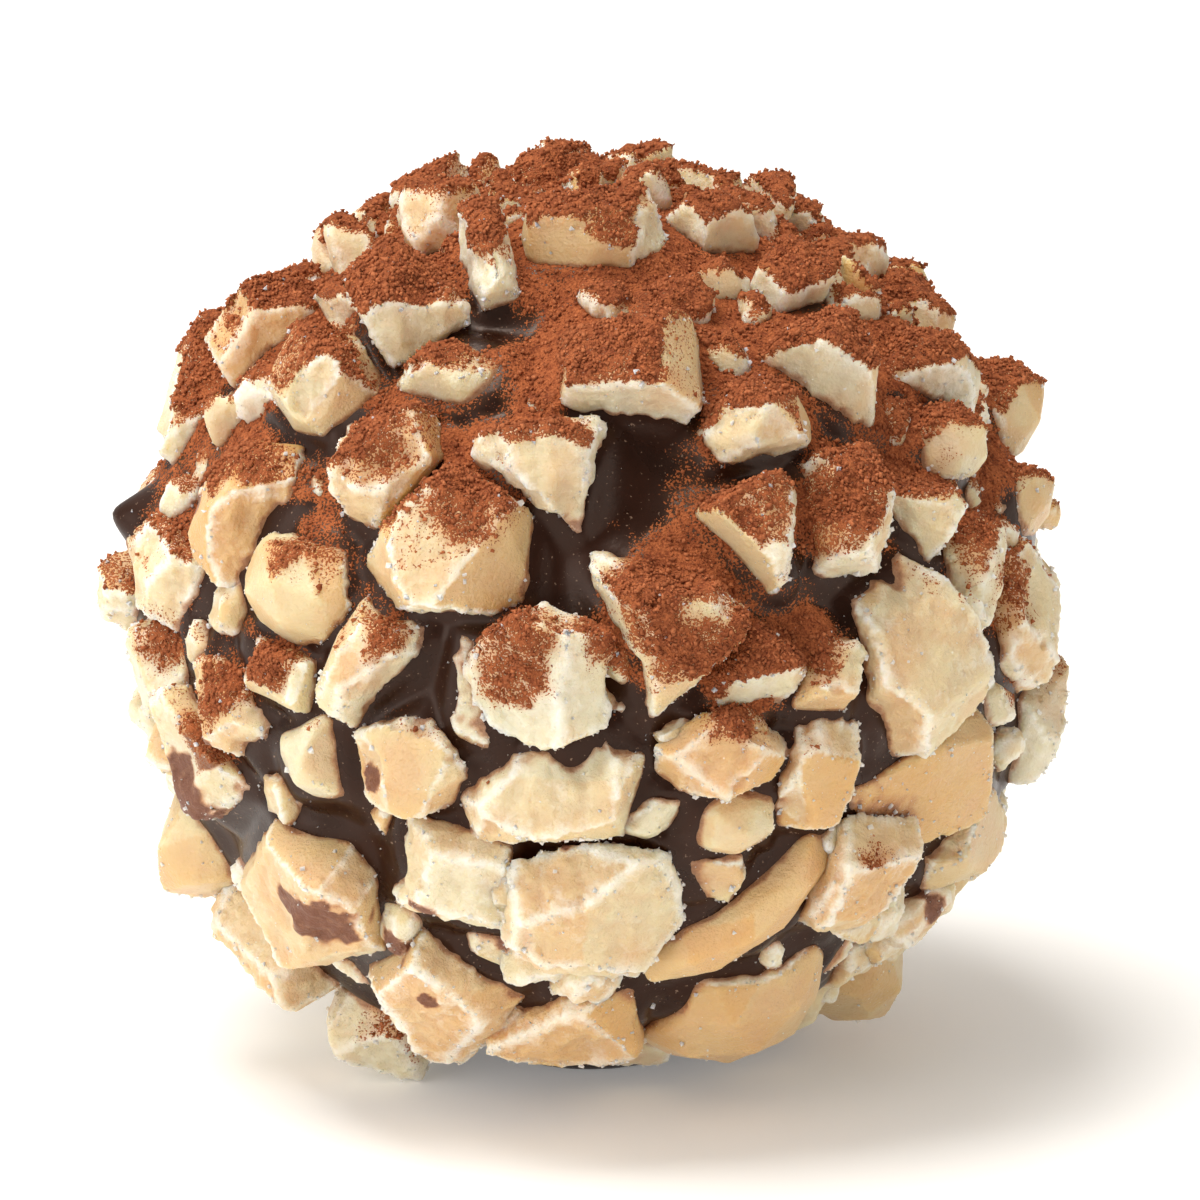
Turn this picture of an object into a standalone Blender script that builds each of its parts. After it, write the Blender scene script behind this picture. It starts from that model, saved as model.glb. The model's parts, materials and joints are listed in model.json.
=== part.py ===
"""A chocolate truffle rolled in chopped nuts.

A ball of set chocolate stands on a small flat foot, and pieces of chopped nut cover it all over.
The larger pieces are solids of their own. The smaller ones, and those on the back, are raised
from the ball itself. Metres, +Z up, front towards -Y, resting on Z = 0.
"""

import math
import random

import bmesh
import bpy
from mathutils import Matrix, Vector

MM = 0.001

# The chocolate ball and the flat foot that it set on
BALL_RADIUS = 12.6 * MM
BALL_HEIGHT = 13.8 * MM
BALL_DIVISIONS = 3
FOOT_RADIUS = 2.5 * MM
FOOT_FLARE = 1.1 * MM
FOOT_DEPTH = 2.2 * MM
FOOT_SIDES = 20

# The peak that the chocolate drew out into on the left: its place in degrees, and its size
PEAK_PLACE = (-82, 14)
PEAK_REACH = 14.4 * MM
PEAK_RADIUS = 1.5 * MM
PEAK_FLATNESS = 0.7
PEAK_TURN = 24

# How the pieces of nut sit on the ball
GAP = 0.3 * MM
SINK = 0.8 * MM
SMALLEST_POINT = 0.12 * MM
FLAT_ANGLE = math.radians(1.5)
LONGEST = 6.5 * MM

# A small piece stays where it is at least this wide and high, with this many points this deep
LEAST_CRUMB = 1.2 * MM
LEAST_STAND = 0.7 * MM
LEAST_ROOT = 0.4 * MM
LEAST_ROOTS = 3

# How a piece of nut is broken: leans and turns in degrees, the rest as shares of its size
BLOCK_SPARE = 1.06
SIDE_LEAN = (-8.0, 24.0)
SIDE_TURN = 11.0
SIDE_LEVEL = 0.3
ROOF_LEAN = (6.0, 24.0)
ROOF_LEVEL = 0.92
BREAK_LEAN = (30.0, 52.0)
BREAK_TURN = (103.0, 195.0)
BREAK_REACH = 0.62
BREAK_RISE = 0.81
CORNER_SPREAD = {3: 0.68, 4: 1.0, 5: 0.96, 6: 0.98}
ROUND_DIVISIONS = 2
SKIN_SWELL = 1.34
SKIN_DROP = 0.6
LONG_CHIP = 3.3

# The scattered pieces on the back, the top and underneath: lengths and heights in millimetres,
# widths as shares of the length, and how far each strays from its place in degrees
SCATTER_SEED = 11
SCATTER_COUNT = 178
SCATTER_AROUND = 4.0
SCATTER_UP = 3.0
SCATTER_LENGTH = (2.7, 4.9)
SCATTER_WIDTH = (0.62, 0.95)
SCATTER_HEIGHT = (1.3, 2.2)
SCATTER_CORNERS = [3, 4, 4, 5]
SCATTER_KINDS = ["chip", "chip", "chip", "kernel"]
FRONT_TILT = 15.0
FRONT_SPREAD = 76.0
TOP_SPREAD = 24.0
TOP_FLATNESS = 0.78
FOOT_CLEAR = 25.0

# The large pieces are broken by seeds from 0 on, and the smaller ones from here on
SMALL_SEED = 1000

# Each piece: degrees round from the front and up from level, then length, width and height in
# millimetres, the turn of its length from level in degrees, its corners, and the kind of piece.
# A "chip" is broken on every side, and a "kernel" keeps the round skin side of the nut on top.
NUTS = [
    (7, 45, 4.4, 3.5, 2.6, -8, 4, "chip"),
    (-6, 33, 4.2, 3.9, 2.1, 50, 3, "chip"),
    (-20, 23, 5.2, 4.3, 2.2, 175, 5, "chip"),
    (-53, 21, 5.0, 4.3, 2.2, 70, 5, "kernel"),
    (-41, 15, 4.2, 3.4, 1.8, -10, 5, "kernel"),
    (-29, 7, 4.3, 2.3, 1.9, 62, 4, "chip"),
    (-42, 4, 3.0, 2.0, 1.5, -8, 4, "chip"),
    (-68, 10, 3.7, 3.2, 1.8, 80, 4, "chip"),
    (-71, -2, 4.0, 2.7, 1.6, 20, 4, "chip"),
    (-88, 3, 3.4, 3.0, 2.2, 10, 3, "chip"),
    (-86, 31, 4.5, 3.1, 1.8, 82, 4, "chip"),
    (-74, 43, 3.7, 2.4, 2.3, 78, 4, "chip"),
    (-48, 40, 3.8, 3.3, 2.4, 0, 5, "chip"),
    (-42, 52, 4.0, 3.3, 2.8, -28, 4, "chip"),
    (-26, 44, 3.6, 2.5, 1.7, 22, 4, "kernel"),
    (-27, 62, 3.3, 2.1, 2.2, -60, 4, "chip"),
    (1, 70, 4.8, 2.9, 2.1, 4, 5, "chip"),
    (-29, 31, 3.7, 3.2, 2.3, 75, 5, "chip"),
    (26, 37, 3.9, 3.4, 2.4, -45, 5, "kernel"),
    (44, 43, 4.6, 4.0, 2.3, -78, 3, "chip"),
    (68, 37, 4.4, 3.5, 2.2, -30, 5, "kernel"),
    (62, 29, 2.9, 2.6, 2.2, 0, 5, "kernel"),
    (96, 26, 3.9, 3.2, 2.5, 0, 5, "kernel"),
    (23, 24, 3.6, 3.2, 2.3, -85, 3, "chip"),
    (37, 25, 3.8, 2.6, 2.2, 85, 4, "chip"),
    (52, 24, 3.6, 3.3, 2.2, 20, 3, "chip"),
    (57, 13, 3.5, 2.0, 1.8, 75, 4, "chip"),
    (45, 6, 6.4, 4.3, 2.0, 108, 6, "chip"),
    (72, 5, 4.6, 3.9, 1.7, 70, 5, "chip"),
    (86, 17, 3.2, 2.9, 1.8, 0, 5, "kernel"),
    (29, 4, 3.0, 2.5, 1.7, 70, 4, "chip"),
    (20, 4, 3.2, 3.0, 1.6, 55, 4, "chip"),
    (9, 12, 5.2, 4.4, 2.0, -100, 3, "chip"),
    (-6, 7, 4.5, 4.1, 1.9, 30, 5, "chip"),
    (-14, 4, 3.3, 1.7, 1.3, 85, 4, "chip"),
    (-4, -9, 5.4, 3.3, 1.5, 20, 5, "chip"),
    (16, -3, 4.7, 2.5, 1.9, 8, 5, "chip"),
    (29, -7, 3.4, 2.5, 1.5, 75, 4, "chip"),
    (19, -13, 2.9, 2.2, 1.5, -5, 4, "kernel"),
    (14, -19, 2.9, 2.1, 1.2, -6, 4, "chip"),
    (1, -25, 5.4, 4.8, 1.9, -15, 5, "chip"),
    (-18, -20, 3.7, 3.2, 1.6, 80, 4, "chip"),
    (-22, -5, 3.6, 2.6, 1.6, 4, 5, "chip"),
    (-36, -6, 2.9, 2.6, 1.6, 20, 5, "kernel"),
    (-60, -10, 3.9, 2.5, 1.7, -55, 4, "chip"),
    (-51, -2, 3.4, 2.4, 1.5, -25, 4, "chip"),
    (-44, -28, 5.1, 4.5, 2.0, 30, 5, "chip"),
    (-27, -45, 4.3, 3.8, 1.9, 45, 4, "chip"),
    (-2, -49, 5.2, 3.4, 1.8, 180, 3, "chip"),
    (22, -28, 6.2, 2.2, 1.6, 47, 4, "kernel"),
    (38, -23, 3.8, 3.0, 1.8, 80, 4, "chip"),
    (50, -13, 5.8, 4.1, 1.8, 22, 5, "chip"),
    (83, -12, 3.4, 2.9, 2.0, 10, 4, "chip"),
    (66, -25, 3.9, 2.7, 1.5, 20, 5, "chip"),
    (31, -50, 4.8, 4.5, 2.0, 60, 5, "kernel"),
    (93, -55, 4.2, 3.4, 2.9, -10, 5, "kernel"),
    (-66, -60, 3.7, 2.9, 2.6, 15, 5, "chip"),
    (-79, -31, 4.2, 3.0, 2.6, 60, 4, "kernel"),
    (-72, -44, 4.4, 2.9, 2.3, -50, 5, "chip"),
]

# The smaller pieces that lie between the large ones, written the same way
SMALL_NUTS = [
    (-118, 65, 2.6, 2.3, 1.8, 0, 4, "chip"),
    (-99, 56, 3.0, 2.5, 1.8, 40, 4, "kernel"),
    (-120, 58, 2.8, 2.3, 1.7, 0, 5, "chip"),
    (-66, 69, 3.0, 2.6, 2.3, 0, 5, "chip"),
    (-84, 58, 2.9, 2.3, 2.5, 0, 4, "chip"),
    (-72, 50, 2.8, 2.2, 2.0, 60, 4, "chip"),
    (-62, 31, 2.6, 1.3, 1.0, 70, 4, "kernel"),
    (46, 70, 3.0, 2.3, 2.0, 0, 4, "chip"),
    (60, 82, 2.2, 1.8, 1.8, 30, 4, "chip"),
    (108, 74, 3.4, 2.7, 1.6, 30, 5, "chip"),
    (55, 57, 3.2, 2.7, 1.9, 0, 5, "chip"),
    (86, 55, 2.7, 2.2, 1.5, 20, 4, "kernel"),
    (150, 73, 3.0, 2.6, 1.8, 0, 4, "chip"),
    (-17, 41, 1.3, 1.1, 0.9, 0, 4, "chip"),
    (-46, 9, 2.6, 1.6, 1.2, 0, 4, "kernel"),
    (-63, -18, 1.9, 1.7, 1.0, 0, 4, "chip"),
    (-43, -13, 2.1, 1.5, 1.0, -10, 4, "chip"),
    (-27, -14, 2.0, 1.8, 1.3, 60, 4, "kernel"),
    (-79, -18, 3.3, 2.7, 1.8, 80, 4, "kernel"),
    (-12, -34, 3.3, 1.8, 1.2, -15, 4, "chip"),
    (-41, -41, 2.5, 2.2, 1.3, 0, 4, "chip"),
    (56, -46, 3.4, 2.1, 1.3, 15, 4, "chip"),
    (59, -36, 3.1, 2.0, 1.3, 25, 4, "chip"),
    (36, -2, 2.3, 1.3, 1.0, 80, 4, "chip"),
    (29, 16, 1.9, 1.4, 0.9, -60, 4, "chip"),
    (93, 3, 3.0, 2.6, 1.8, 0, 5, "kernel"),
    (89, -2, 2.0, 1.8, 1.4, 0, 4, "chip"),
    (36, 31, 1.8, 1.4, 0.9, 0, 4, "chip"),
    (67, 23, 2.0, 1.5, 1.0, 40, 4, "chip"),
    (55, 34, 1.9, 1.5, 1.0, 0, 4, "chip"),
    (-84, -9, 2.6, 2.2, 1.7, 0, 4, "kernel"),
    (-21, -60, 2.8, 1.7, 0.9, 0, 4, "chip"),
    (12, -66, 2.5, 2.1, 1.2, 10, 4, "chip"),
    (18, 57, 3.2, 2.5, 1.0, 10, 5, "chip"),
    (40, 56, 3.1, 2.6, 1.1, -20, 5, "chip"),
    (27, 49, 2.6, 2.1, 0.9, 0, 4, "chip"),
    (73, 54, 2.9, 2.4, 1.9, 0, 4, "chip"),
    (-50, 75, 3.0, 2.4, 1.1, 30, 5, "chip"),
    (78, 46, 2.6, 2.2, 1.4, 0, 5, "chip"),
    (95, 42, 3.2, 2.6, 1.7, 80, 5, "chip"),
    (76, -42, 2.6, 2.2, 1.4, 0, 4, "chip"),
    (81, -24, 2.4, 2.0, 1.4, 0, 4, "kernel"),
]

# Dark chocolate, and the blanched nut
CHOCOLATE = (0.020, 0.010, 0.007, 1.0)
CHOCOLATE_ROUGHNESS = 0.3
NUT = (0.78, 0.62, 0.40, 1.0)
NUT_ROUGHNESS = 0.5


def outward(azimuth, elevation):
    """The direction from the ball's middle at degrees round from the front and up from level."""
    around = math.radians(azimuth)
    up = math.radians(elevation)
    return Vector((math.sin(around) * math.cos(up), -math.cos(around) * math.cos(up), math.sin(up)))


def resting_frame(azimuth, elevation, turn):
    """The axes of a piece at the ball's middle: Z out through the piece, X along its length."""
    normal = outward(azimuth, elevation)
    around = math.radians(azimuth)
    east = Vector((math.cos(around), math.sin(around), 0))
    north = normal.cross(east)
    axes = Matrix((east, north, normal)).transposed()
    return axes @ Matrix.Rotation(math.radians(turn), 3, "Z")


def slice_off(solid, point, normal):
    """Cut away what lies beyond a plane and close the cut with a flat face."""
    geometry = solid.verts[:] + solid.edges[:] + solid.faces[:]
    result = bmesh.ops.bisect_plane(
        solid, geom=geometry, plane_co=point, plane_no=normal, clear_outer=True
    )
    rim = [item for item in result["geom_cut"] if isinstance(item, bmesh.types.BMEdge)]
    if rim:
        bmesh.ops.holes_fill(solid, edges=rim)
    solid.normal_update()


def leaning(around, lean):
    """A direction round from X in radians, raised from level by the lean in degrees."""
    up = math.radians(lean)
    return Vector((math.cos(around) * math.cos(up), math.sin(around) * math.cos(up), math.sin(up)))


def kernel_block(half_length, half_width, top):
    """A stretch of the nut's own round skin, wider than the piece that is broken from it."""
    solid = bmesh.new()
    bmesh.ops.create_icosphere(solid, subdivisions=ROUND_DIVISIONS, radius=1)
    swell = (half_length * SKIN_SWELL, half_width * SKIN_SWELL, top * (1 + SKIN_DROP))
    bmesh.ops.scale(solid, vec=swell, verts=solid.verts)
    bmesh.ops.translate(solid, vec=(0, 0, -top * SKIN_DROP), verts=solid.verts)
    return solid


def chip_block(half_length, half_width, top):
    """A square block, a little larger than the chip that is broken from it."""
    solid = bmesh.new()
    bmesh.ops.create_cube(solid, size=2)
    size = (half_length * BLOCK_SPARE, half_width * BLOCK_SPARE, top)
    bmesh.ops.scale(solid, vec=size, verts=solid.verts)
    return solid


def broken_piece(row, depth, chance):
    """One piece of nut, with its bed at Z = -depth and its top near its height."""
    _, _, length, width, height, _, corners, kind = row
    half_length = length * MM / 2
    half_width = width * MM / 2
    top = height * MM
    block = kernel_block if kind == "kernel" else chip_block
    solid = block(half_length, half_width, top)

    first = math.pi / corners if corners % 2 else 0
    for corner in range(corners):
        around = first + math.tau * corner / corners
        around += math.radians(chance.uniform(-SIDE_TURN, SIDE_TURN))
        side = Vector((math.cos(around), math.sin(around), 0))
        reach = math.hypot(half_length * side.x, half_width * side.y) * CORNER_SPREAD[corners]
        point = side * reach + Vector((0, 0, top * SIDE_LEVEL))
        slice_off(solid, point, leaning(around, chance.uniform(*SIDE_LEAN)))

    around = chance.uniform(0, math.tau)
    breaks = 1
    if kind == "chip":
        roof = leaning(around, 90 - chance.uniform(*ROOF_LEAN))
        slice_off(solid, Vector((0, 0, top * ROOF_LEVEL)), roof)
        breaks = 2 if length > LONG_CHIP else 1
    for _ in range(breaks):
        around += math.radians(chance.uniform(*BREAK_TURN))
        edge = Vector((math.cos(around) * half_length, math.sin(around) * half_width, 0))
        edge = edge * BREAK_REACH + Vector((0, 0, top * BREAK_RISE))
        slice_off(solid, edge, leaning(around, 90 - chance.uniform(*BREAK_LEAN)))
    slice_off(solid, Vector((0, 0, -depth)), Vector((0, 0, -1)))
    return solid


def laid_nut(row, bed, depth, chance):
    """A piece of nut laid on the ball, in the ball's own frame."""
    azimuth, elevation, _, _, _, turn, _, _ = row
    solid = broken_piece(row, depth, chance)
    bmesh.ops.translate(solid, vec=(0, 0, bed), verts=solid.verts)
    seat = resting_frame(azimuth, elevation, turn).to_4x4()
    bmesh.ops.transform(solid, matrix=seat, verts=solid.verts)
    slice_off(solid, Vector((0, 0, -BALL_HEIGHT)), Vector((0, 0, -1)))
    return solid


def middle(solid):
    """The mean of a solid's points."""
    return sum((vert.co for vert in solid.verts), Vector()) / len(solid.verts)


def shallowest_overlap(solid, other):
    """The direction in which two solids run least into each other, how far, and where between."""
    directions = [face.normal.copy() for face in solid.faces]
    directions += [-face.normal for face in other.faces]
    directions.append((middle(other) - middle(solid)).normalized())
    best = None
    for direction in directions:
        front = max(vert.co.dot(direction) for vert in solid.verts)
        back = min(vert.co.dot(direction) for vert in other.verts)
        if best is None or front - back < best[0]:
            best = (front - back, direction, (front + back) / 2)
    return best


def near(solid, other):
    """Whether two pieces are close enough that they might touch."""
    centre = middle(solid)
    return min((vert.co - centre).length for vert in other.verts) < LONGEST


def part_pair(solid, other):
    """Cut two pieces back so that a gap is left between them."""
    if not near(solid, other):
        return
    depth, direction, level = shallowest_overlap(solid, other)
    if depth > -GAP:
        slice_off(solid, direction * (level - GAP / 2), direction)
        slice_off(other, direction * (level + GAP / 2), -direction)


def trim_to(solid, fixed):
    """Cut one piece back to a gap from another that stays whole."""
    if not near(solid, fixed):
        return
    depth, direction, level = shallowest_overlap(solid, fixed)
    if depth > -GAP:
        slice_off(solid, direction * (level - depth / 2 - GAP), direction)


def tidied(solid):
    """The same piece without its shortest edges, closed again around its points."""
    bmesh.ops.remove_doubles(solid, verts=solid.verts, dist=SMALLEST_POINT)
    clean = bmesh.new()
    for vert in solid.verts:
        clean.verts.new(vert.co)
    solid.free()
    result = bmesh.ops.convex_hull(clean, input=clean.verts)
    inside = {item for item in result["geom_interior"] if isinstance(item, bmesh.types.BMVert)}
    bmesh.ops.delete(clean, geom=list(inside), context="VERTS")
    bmesh.ops.dissolve_limit(clean, angle_limit=FLAT_ANGLE, verts=clean.verts, edges=clean.edges)
    bmesh.ops.recalc_face_normals(clean, faces=clean.faces)
    return clean


def big_enough(solid):
    """Whether enough of a piece is left, standing clear of the ball and rooted in it."""
    heights = [vert.co.length for vert in solid.verts]
    stands = max(heights) > BALL_RADIUS + LEAST_STAND
    rooted = sum(height < BALL_RADIUS - LEAST_ROOT for height in heights) >= LEAST_ROOTS
    centre = middle(solid)
    wide = max((vert.co - centre).length for vert in solid.verts) > LEAST_CRUMB
    return stands and rooted and wide


def scattered_rows(chance):
    """Places for the pieces that cover the back, the top and the underside."""
    view = outward(0, FRONT_TILT)
    rows = []
    golden = math.pi * (3 - math.sqrt(5))
    for index in range(SCATTER_COUNT):
        level = 1 - 2 * (index + 0.5) / SCATTER_COUNT
        azimuth = math.degrees(golden * index) + chance.uniform(-SCATTER_AROUND, SCATTER_AROUND)
        elevation = math.degrees(math.asin(level)) + chance.uniform(-SCATTER_UP, SCATTER_UP)
        place = outward(azimuth, elevation)
        if place.angle(view) < math.radians(FRONT_SPREAD) and elevation < 90 - TOP_SPREAD:
            continue
        if elevation < FOOT_CLEAR - 90:
            continue
        length = chance.uniform(*SCATTER_LENGTH)
        width = length * chance.uniform(*SCATTER_WIDTH)
        height = chance.uniform(*SCATTER_HEIGHT)
        if elevation > 90 - TOP_SPREAD:
            height *= TOP_FLATNESS
        turn = chance.uniform(0, 180)
        corners = chance.choice(SCATTER_CORNERS)
        kind = chance.choice(SCATTER_KINDS)
        rows.append((azimuth, elevation, length, width, height, turn, corners, kind))
    return sorted(rows, key=lambda row: -row[2])


def material(name, color, roughness):
    """A plain Principled finish."""
    finish = bpy.data.materials.new(name)
    finish.use_nodes = True
    shader = finish.node_tree.nodes["Principled BSDF"]
    shader.inputs["Base Color"].default_value = color
    shader.inputs["Roughness"].default_value = roughness
    finish.diffuse_color = color
    return finish


def new_object(name, solid, collection, finish):
    """An object made from a bmesh, which is used up."""
    mesh = bpy.data.meshes.new(name)
    solid.to_mesh(mesh)
    solid.free()
    mesh.materials.append(finish)
    thing = bpy.data.objects.new(name, mesh)
    collection.objects.link(thing)
    return thing


def new_cutter(name, solid, collection, finish, ball):
    """A helper that is joined to the ball and isn't a part itself."""
    helper = new_object(name, solid, collection, finish)
    helper.hide_render = True
    helper.display_type = "WIRE"
    join = ball.modifiers.new(name, "BOOLEAN")
    join.operation = "UNION"
    join.solver = "EXACT"
    join.object = helper
    return helper


def foot_solid():
    """The short flared foot under the ball, down to the surface that the truffle set on."""
    solid = bmesh.new()
    bmesh.ops.create_cone(
        solid,
        cap_ends=True,
        segments=FOOT_SIDES,
        radius1=FOOT_RADIUS,
        radius2=FOOT_RADIUS + FOOT_FLARE,
        depth=FOOT_DEPTH,
    )
    bmesh.ops.translate(solid, vec=(0, 0, FOOT_DEPTH / 2 - BALL_HEIGHT), verts=solid.verts)
    return solid


def peak_solid():
    """The smooth peak that the chocolate drew out into before it set."""
    azimuth, elevation = PEAK_PLACE
    solid = bmesh.new()
    bmesh.ops.create_icosphere(solid, subdivisions=ROUND_DIVISIONS, radius=1)
    size = (PEAK_RADIUS, PEAK_RADIUS * PEAK_FLATNESS, PEAK_REACH - BALL_RADIUS)
    bmesh.ops.scale(solid, vec=size, verts=solid.verts)
    bmesh.ops.translate(solid, vec=(0, 0, BALL_RADIUS), verts=solid.verts)
    seat = resting_frame(azimuth, elevation, PEAK_TURN).to_4x4()
    bmesh.ops.transform(solid, matrix=seat, verts=solid.verts)
    return solid


def placed_nuts(peak):
    """The large pieces and the small ones between them, cut clear of one another."""
    large = []
    for index, row in enumerate(NUTS):
        large.append(laid_nut(row, BALL_RADIUS + GAP, 0, random.Random(index)))
    for index, solid in enumerate(large):
        trim_to(solid, peak)
        for other in large[:index]:
            part_pair(solid, other)
    large = [tidied(solid) for solid in large]

    kept = []
    rows = SMALL_NUTS + scattered_rows(random.Random(SCATTER_SEED))
    for index, row in enumerate(rows):
        solid = laid_nut(row, BALL_RADIUS, SINK, random.Random(SMALL_SEED + index))
        for fixed in [peak] + large + kept:
            if solid.verts:
                trim_to(solid, fixed)
        if solid.verts and big_enough(solid):
            kept.append(tidied(solid))
    return large, kept


def joined(solids):
    """Several solids in one bmesh, still apart."""
    everything = bmesh.new()
    for solid in solids:
        scratch = bpy.data.meshes.new("scratch")
        solid.to_mesh(scratch)
        solid.free()
        everything.from_mesh(scratch)
        bpy.data.meshes.remove(scratch)
    return everything


def main():
    for thing in list(bpy.data.objects):
        bpy.data.objects.remove(thing)
    parts = bpy.data.collections.new("chocolate_truffle")
    cutters = bpy.data.collections.new("cutters")
    bpy.context.scene.collection.children.link(parts)
    bpy.context.scene.collection.children.link(cutters)
    chocolate = material("dark_chocolate", CHOCOLATE, CHOCOLATE_ROUGHNESS)
    nut = material("blanched_nut", NUT, NUT_ROUGHNESS)

    peak = peak_solid()
    large, small = placed_nuts(peak)
    points = [vert.co.copy() for solid in large + small for vert in solid.verts]
    lowest = Vector([min(point[axis] for point in points) for axis in range(3)])
    highest = Vector([max(point[axis] for point in points) for axis in range(3)])
    centre = (lowest + highest) / 2

    truffle = bpy.data.objects.new("truffle", None)
    truffle.location = (-centre.x, -centre.y, BALL_HEIGHT)
    parts.objects.link(truffle)

    ball_mesh = bmesh.new()
    bmesh.ops.create_icosphere(ball_mesh, subdivisions=BALL_DIVISIONS, radius=BALL_RADIUS)
    ball = new_object("coated_ball", ball_mesh, parts, chocolate)
    ball.parent = truffle
    new_cutter("foot", foot_solid(), cutters, chocolate, ball).parent = truffle
    new_cutter("relief", joined(small + [peak]), cutters, chocolate, ball).parent = truffle

    for index, (row, solid) in enumerate(zip(NUTS, large), 1):
        azimuth, elevation, _, _, _, turn, _, _ = row
        seat = resting_frame(azimuth, elevation, turn).to_4x4()
        seat.translation = outward(azimuth, elevation) * (BALL_RADIUS + GAP)
        bmesh.ops.transform(solid, matrix=seat.inverted(), verts=solid.verts)
        piece = new_object(f"nut_{index:02d}", solid, parts, nut)
        piece.parent = truffle
        piece.location = seat.translation
        piece.rotation_euler = seat.to_euler()


main()
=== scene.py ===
import json
import math
import random

import bmesh
import bpy
import numpy as np
from mathutils import Matrix, Vector, noise
from mathutils.bvhtree import BVHTree
from mathutils.kdtree import KDTree


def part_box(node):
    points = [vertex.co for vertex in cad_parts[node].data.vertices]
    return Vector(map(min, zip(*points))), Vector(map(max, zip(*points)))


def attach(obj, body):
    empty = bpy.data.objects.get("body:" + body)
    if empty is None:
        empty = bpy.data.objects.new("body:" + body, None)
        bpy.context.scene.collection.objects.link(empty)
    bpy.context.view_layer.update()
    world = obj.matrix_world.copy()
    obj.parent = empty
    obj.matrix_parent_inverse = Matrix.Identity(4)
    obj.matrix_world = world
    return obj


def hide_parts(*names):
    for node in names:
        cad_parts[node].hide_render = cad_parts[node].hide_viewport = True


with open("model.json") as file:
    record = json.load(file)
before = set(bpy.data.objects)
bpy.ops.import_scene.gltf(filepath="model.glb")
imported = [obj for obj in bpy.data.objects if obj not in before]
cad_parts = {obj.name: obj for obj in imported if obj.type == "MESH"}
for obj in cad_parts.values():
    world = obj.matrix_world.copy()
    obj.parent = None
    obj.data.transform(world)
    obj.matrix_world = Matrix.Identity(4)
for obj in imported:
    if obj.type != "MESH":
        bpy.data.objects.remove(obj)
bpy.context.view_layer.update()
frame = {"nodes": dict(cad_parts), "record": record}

# ------------------------------------------------------------------- large pieces of chopped nut
# Blanched nuts, chopped coarsely: waxy ivory to golden outsides, and dry, whiter faces with
# crumbly edges where the knife broke them. Rolling pressed them into the chocolate while it was
# soft, so they lie over it like scales and stand out by about two millimetres.

MM = 0.001
BALL_HEIGHT = 13.8
foot_x, foot_y, foot_z = frame["record"]["mounts"][0]["pos_m"]
heart = Vector((foot_x, foot_y, foot_z + BALL_HEIGHT * MM))
into_mm = Matrix.Scale(1 / MM, 4) @ Matrix.Translation(-heart)
table_level = -BALL_HEIGHT

LARGE_GRAIN = 0.105
SMALLEST_STEP = 0.005
SAME_FACE = math.radians(2)
SAME_SURFACE = math.radians(33)
BORDER_STEP = 0.1
KERNELS = (1, 4, 5, 12, 13, 15, 19, 21, 22, 23, 30, 39, 44, 50, 55, 56, 58)
CHIP_LEAN = (35, 78)
CHIP_DEPTH = (0.12, 0.42)
FULL_THICKNESS = 2.2
SCOOP_RADIUS = (1.2, 2.6)
SCOOP_DEPTH = (0.12, 0.3)
BITE_RADIUS = (0.22, 0.6)
BITE_DEPTH = (0.08, 0.24)
BITES = 7
WORN_WIDTH = 0.16
PUFFED_OUT = 0.07
TOP_SPREAD = 0.9
SIDE_SPREAD = 1.02
LOW_SPREAD = 1.11

# How golden each outstanding piece is, from 0 for chalky white to 1 for golden; the rest vary.
# Pieces 50 and 55, low on the right, are set more golden and darker partly as painted shade.
TINTS_AND_SHADE = {4: 0.85, 7: 0.35, 12: 0.95, 14: 0.3, 15: 0.15, 16: 0.05, 21: 0.2, 28: 0.45, 29: 0.55,
         33: 0.4, 36: 0.35, 37: 0.95, 38: 0.7, 39: 0.3, 41: 0.45, 44: 0.1, 47: 0.5, 49: 0.95,
         50: 0.7, 52: 0.6, 53: 0.05, 54: 0.6, 55: 0.75, 56: 0.65}


def linear(code):
    """The linear colour that a shader takes, from a maker's sRGB hex value."""
    parts = [int(code[at:at + 2], 16) / 255 for at in (0, 2, 4)]
    return [c / 12.92 if c <= 0.04045 else ((c + 0.055) / 1.055) ** 2.4 for c in parts] + [1.0]


def add(tree, kind, inputs=None, **settings):
    """Adds a node with its settings. An input is linked if it's given a socket, and set if not."""
    node = tree.nodes.new(kind)
    for name, value in settings.items():
        setattr(node, name, value)
    for name, value in (inputs or {}).items():
        if isinstance(value, bpy.types.NodeSocket):
            tree.links.new(value, node.inputs[name])
        else:
            node.inputs[name].default_value = value
    return node


def lumps(points, size, seed):
    """Soft random lumps about as wide as size, from -1 to 1, one number for each point."""
    away = Vector((seed * 17.3, seed * 5.1, seed * 9.7))
    return np.array([noise.noise(Vector(p) / size + away) for p in points])


def ramp(values, low, high):
    """0 up to low, 1 from high, and a smooth rise between them."""
    part = np.clip((values - low) / (high - low), 0.0, 1.0)
    return part * part * (3 - 2 * part)


def surfaces(shape):
    """Numbers the surfaces of a piece: faces that meet at a small angle are one surface."""
    number = {}
    for first in shape.faces:
        if first in number:
            continue
        number[first] = len(set(number.values()))
        edge_of_growth = [first]
        while edge_of_growth:
            face = edge_of_growth.pop()
            for edge in face.edges:
                for other in edge.link_faces:
                    if other not in number and edge.calc_face_angle(9.0) < SAME_SURFACE:
                        number[other] = number[first]
                        edge_of_growth.append(other)
    return number


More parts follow.
